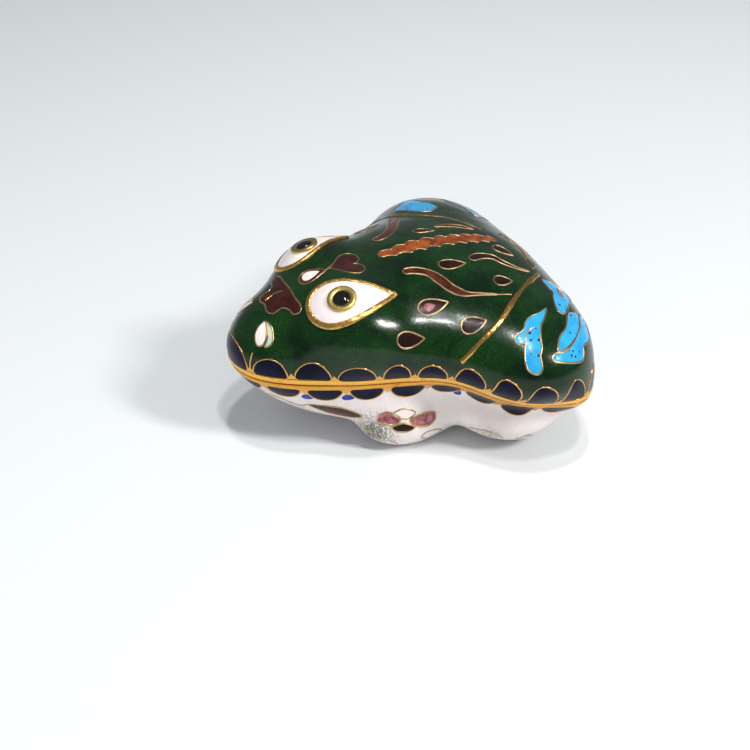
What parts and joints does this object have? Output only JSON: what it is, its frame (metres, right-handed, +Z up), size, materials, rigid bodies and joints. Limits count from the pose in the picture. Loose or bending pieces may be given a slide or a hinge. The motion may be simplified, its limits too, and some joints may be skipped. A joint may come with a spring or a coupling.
{
  "type": "frog trinket box",
  "caption": "Enamelled trinket box in the shape of a crouching frog: a lift-off domed lid seated on a hollow base by an inner collar, with gilt rim bands.",
  "frame": {"origin": "middle of the box's footprint, on the plane its feet stand on", "axes": "+Z up, the frog's nose points along -Y, its left side is +X"},
  "size_m": [0.0818, 0.0784, 0.0411],
  "materials": {
    "copper": "formed copper sheet, edges only in sight",
    "counter_enamel": "glossy opaque vitreous enamel",
    "green_enamel": "polished opaque vitreous enamel, faintly mottled",
    "white_enamel": "polished opaque vitreous enamel",
    "navy_enamel": "polished opaque vitreous enamel",
    "rust_enamel": "polished translucent vitreous enamel",
    "maroon_enamel": "polished vitreous enamel",
    "turquoise_enamel": "polished opaque vitreous enamel with pinholes",
    "gilt_band": "satin gilding, worn on its edges",
    "gilt_wire": "gilt wire ground flush and polished",
    "iris_brass": "polished brass",
    "bead_glass": "glossy black glass"
  },
  "bodies": {
    "base": {"base_shell": "copper", "base_lining": "counter_enamel", "base_enamel": "white_enamel", "base_rim": "gilt_band", "base_collar": "gilt_band", "base_scallop_enamel": "navy_enamel", "base_scallop_wires": "gilt_wire", "flower_enamel": "maroon_enamel", "flower_white_enamel": "white_enamel", "chin_ribbon_enamel": "maroon_enamel", "base_motif_wires": "gilt_wire", "foot_flats": "gilt_band"},
    "lid": {"lid_shell": "copper", "lid_lining": "counter_enamel", "lid_enamel": "green_enamel", "lid_rim": "gilt_band", "lid_scallop_enamel": "navy_enamel", "lid_scallop_wires": "gilt_wire", "spine_enamel": "rust_enamel", "ribbon_enamel": "maroon_enamel", "drop_enamel": "maroon_enamel", "heart_enamel": "maroon_enamel", "muzzle_enamel": "maroon_enamel", "crown_drop_enamel": "white_enamel", "nostril_enamel": "white_enamel", "haunch_enamel_left": "turquoise_enamel", "haunch_enamel_right": "turquoise_enamel", "rump_leaf_enamel": "rust_enamel", "motif_wires": "gilt_wire", "haunch_wires_left": "gilt_wire", "haunch_wires_right": "gilt_wire", "seam_wire_left": "gilt_wire", "seam_wire_right": "gilt_wire", "eye_white_left": "white_enamel", "eye_white_right": "white_enamel", "eye_border_left": "gilt_wire", "eye_border_right": "gilt_wire", "iris_cup_left": "iris_brass", "iris_cup_right": "iris_brass", "pupil_left": "bead_glass", "pupil_right": "bead_glass"}
  },
  "joints": [
    {"name": "lid_lift", "type": "slide", "parent": "base", "child": "lid", "axis": [0, 0, 1], "range_m": [0, 0.04]}
  ]
}
